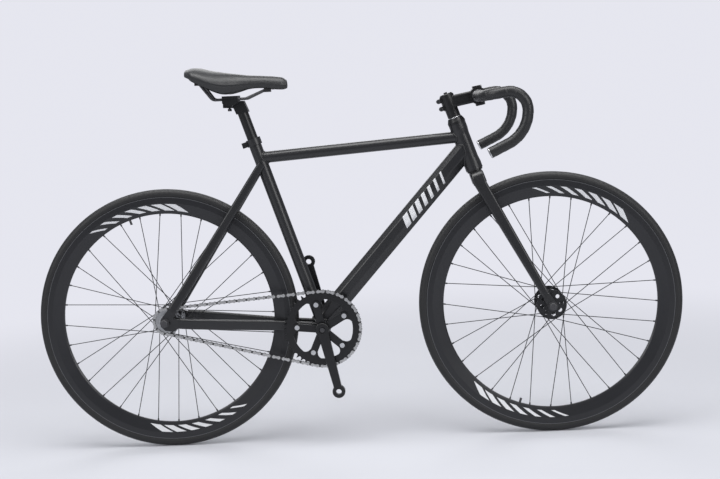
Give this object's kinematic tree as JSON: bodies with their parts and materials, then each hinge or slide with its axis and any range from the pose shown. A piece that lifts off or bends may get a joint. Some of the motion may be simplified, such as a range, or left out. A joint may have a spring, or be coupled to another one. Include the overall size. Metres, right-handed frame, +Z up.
{
  "type": "fixed gear bike",
  "caption": "Track-style bicycle with a diamond frame, drop bar, deep rims and a single fixed gear that turns the cranks with the rear wheel.",
  "frame": {"origin": "on the ground, midway between the axles, in the plane of the wheels", "axes": "+X forward, +Y to the rider's left, +Z up"},
  "size_m": [1.659, 0.447, 0.9772],
  "materials": {
    "black_frame": "satin paint",
    "black_parts": "anodised",
    "grey_bar": "satin",
    "silver_alloy": "polished",
    "silver_steel": "plated",
    "dark_steel": "black oxide",
    "black_rim": "satin anodised",
    "tyre_rubber": "matte",
    "tape": "soft, faintly glossy",
    "saddle_skin": "matte",
    "saddle_base": "moulded"
  },
  "bodies": {
    "frame": {"head_tube": "black_frame", "top_tube": "black_frame", "down_tube": "black_frame", "seat_tube": "black_frame", "bottom_bracket_shell": "black_frame", "chain_stay_right": "black_frame", "chain_stay_left": "black_frame", "seat_stay_right": "black_frame", "seat_stay_left": "black_frame", "track_ends": "black_frame", "stay_bridges": "black_frame", "seat_clamp": "black_frame", "bearing_cups": "silver_steel", "rear_axle": "dark_steel", "rear_axle_nuts": "dark_steel", "chain": "silver_steel"},
    "steering": {"steerer_tube": "black_frame", "fork_crown": "black_frame", "fork_blade_right": "black_frame", "fork_blade_left": "black_frame", "fork_ends": "black_frame", "headset_covers": "black_parts", "top_cap": "black_parts", "stem": "black_parts", "stem_faceplate": "black_parts", "stem_bolts": "dark_steel", "front_axle": "dark_steel", "front_axle_nuts": "dark_steel"},
    "bars": {"handlebar": "grey_bar", "bar_tape_right": "tape", "bar_tape_left": "tape", "bar_end_plugs": "silver_alloy"},
    "front_wheel": {"front_hub_shell": "black_parts", "front_hub_bearings": "silver_steel", "front_spokes": "dark_steel", "front_nipples": "silver_steel", "front_rim": "black_rim", "front_tyre": "tyre_rubber", "front_valve": "silver_steel"},
    "rear_wheel": {"rear_hub_shell": "silver_alloy", "rear_hub_bearings": "silver_steel", "rear_spokes": "dark_steel", "rear_nipples": "silver_steel", "rear_rim": "black_rim", "rear_tyre": "tyre_rubber", "rear_valve": "silver_steel", "sprocket": "silver_steel", "lockring": "silver_steel"},
    "cranks": {"bb_spindle": "silver_steel", "crank_arm_right": "black_parts", "crank_arm_left": "black_parts", "chainring": "black_parts", "chainring_bolts": "silver_steel"},
    "post": {"seatpost": "black_parts"},
    "saddle_clamp": {"saddle_cradle": "black_parts", "saddle_clamp_plate": "black_parts", "saddle_clamp_bolt": "dark_steel"},
    "saddle": {"saddle_rails": "dark_steel", "saddle_shell": "saddle_base", "saddle_cover": "saddle_skin"}
  },
  "joints": [
    {"name": "steering_turn", "type": "hinge", "parent": "frame", "child": "steering", "pos_m": [0.43759, 0, 0.31831], "axis": [-0.3223, 0, 0.9466], "range_deg": [-100, 100]},
    {"name": "bar_roll", "type": "hinge", "parent": "steering", "child": "bars", "pos_m": [0.32693, 0, 0.87338], "axis": [0, 1, 0], "range_deg": [-10, 10]},
    {"name": "front_wheel_spin", "type": "hinge", "parent": "steering", "child": "front_wheel", "pos_m": [0.4925, 0, 0.337], "axis": [0, 1, 0], "continuous": true},
    {"name": "rear_wheel_spin", "type": "hinge", "parent": "frame", "child": "rear_wheel", "pos_m": [-0.4925, 0, 0.337], "axis": [0, 1, 0], "continuous": true, "deforming": ["chain"]},
    {"name": "crank_spin", "type": "hinge", "parent": "frame", "child": "cranks", "pos_m": [-0.09294, 0, 0.301], "axis": [0, 1, 0], "continuous": true, "deforming": ["chain"]},
    {"name": "post_slide", "type": "slide", "parent": "frame", "child": "post", "axis": [-0.3024, 0, 0.9532], "range_m": [-0.065, 0.11]},
    {"name": "saddle_tilt", "type": "hinge", "parent": "post", "child": "saddle_clamp", "pos_m": [-0.29776, 0, 0.90701], "axis": [0, 1, 0], "range_deg": [-8, 8]},
    {"name": "saddle_slide", "type": "slide", "parent": "saddle_clamp", "child": "saddle", "axis": [1, 0, 0], "range_m": [-0.015, 0.015]}
  ],
  "couplings": [
    {"joint": "crank_spin", "follows": "rear_wheel_spin", "ratio": 0.33333}
  ]
}
